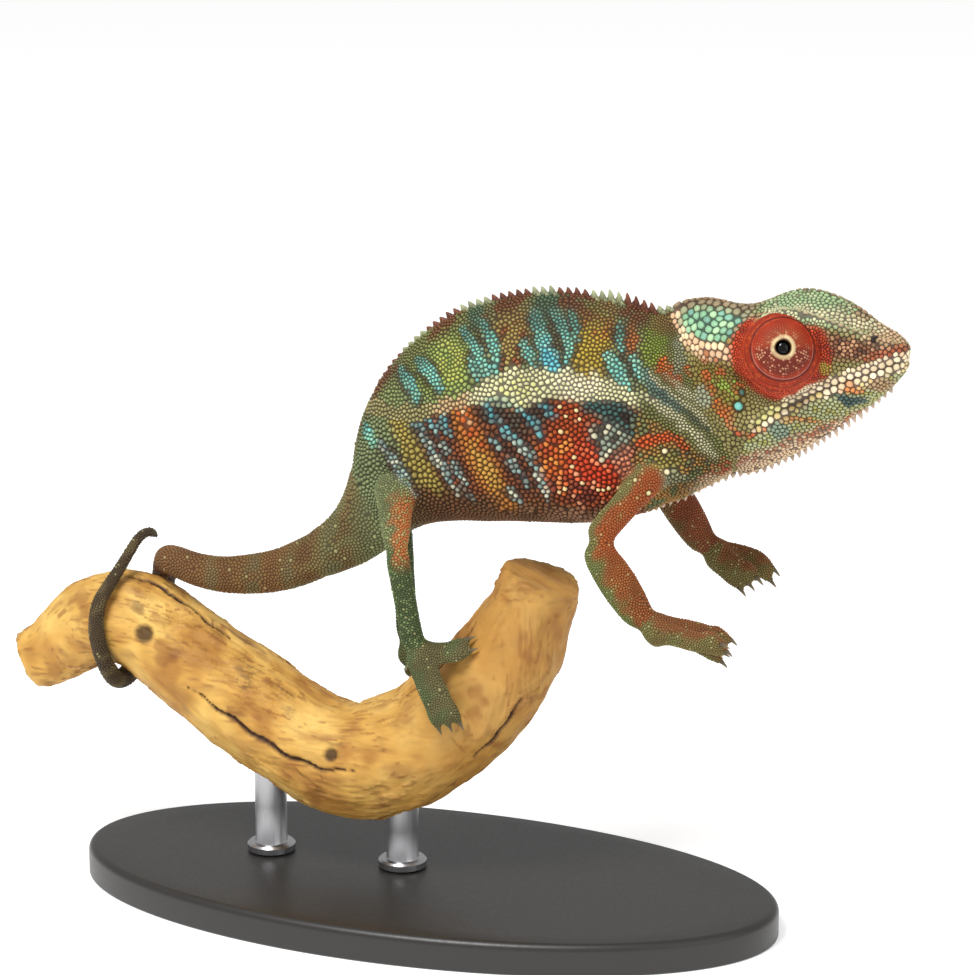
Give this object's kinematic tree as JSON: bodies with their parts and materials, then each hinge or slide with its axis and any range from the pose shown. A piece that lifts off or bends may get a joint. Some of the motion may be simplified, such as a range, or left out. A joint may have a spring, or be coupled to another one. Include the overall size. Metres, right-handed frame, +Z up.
{
  "type": "panther chameleon on a perch",
  "caption": "Life-size panther chameleon gripping a short driftwood perch with feet and coiled tail, on a plain display stand.",
  "frame": {"origin": "centre of the whole model's footprint, on the underside of the stand's base", "axes": "+X the way the animal faces, +Y its left side, +Z up"},
  "size_m": [0.1436, 0.056, 0.1014],
  "materials": {
    "head_skin": "dry scaled skin, mint and olive with orange and cream",
    "turret_skin": "fine granular skin, red orange",
    "eye": "wet glossy dark eye with a cream ring",
    "body_skin": "dry beaded skin, green, teal and rust bars with a pale side stripe",
    "tail_skin": "dry beaded skin, olive and teal grey bands",
    "limb_skin": "dry beaded skin, dark green and rust with pale tubercles",
    "claw": "smooth translucent horn",
    "driftwood": "weathered golden driftwood with cracks",
    "stand_base": "satin black",
    "stand_rod": "fine brushed steel"
  },
  "bodies": {
    "root": {"casque": "head_skin", "jaw": "head_skin", "head": "head_skin", "eye_turret_right": "turret_skin", "eye_right": "eye", "eye_turret_left": "turret_skin", "eye_left": "eye", "neck": "body_skin", "trunk": "body_skin", "tail_1": "tail_skin", "tail_2": "tail_skin", "tail_3": "tail_skin", "tail_4": "tail_skin", "tail_5": "tail_skin", "tail_6": "tail_skin", "upper_arm_right": "limb_skin", "forearm_right": "limb_skin", "hand_right": "limb_skin", "upper_arm_left": "limb_skin", "forearm_left": "limb_skin", "hand_left": "limb_skin", "thigh_right": "limb_skin", "shin_right": "limb_skin", "foot_right": "limb_skin", "thigh_left": "limb_skin", "shin_left": "limb_skin", "foot_left": "limb_skin", "claw_hand_right_1": "claw", "claw_hand_right_2": "claw", "claw_hand_right_3": "claw", "claw_hand_right_4": "claw", "claw_hand_right_5": "claw", "claw_hand_left_1": "claw", "claw_hand_left_2": "claw", "claw_hand_left_3": "claw", "claw_hand_left_4": "claw", "claw_hand_left_5": "claw", "claw_foot_right_1": "claw", "claw_foot_right_2": "claw", "claw_foot_right_3": "claw", "claw_foot_right_4": "claw", "claw_foot_right_5": "claw", "claw_foot_left_1": "claw", "claw_foot_left_2": "claw", "claw_foot_left_3": "claw", "claw_foot_left_4": "claw", "claw_foot_left_5": "claw", "perch": "driftwood", "stand_base": "stand_base", "stand_rod_1": "stand_rod", "stand_rod_2": "stand_rod"}
  },
  "joints": []
}
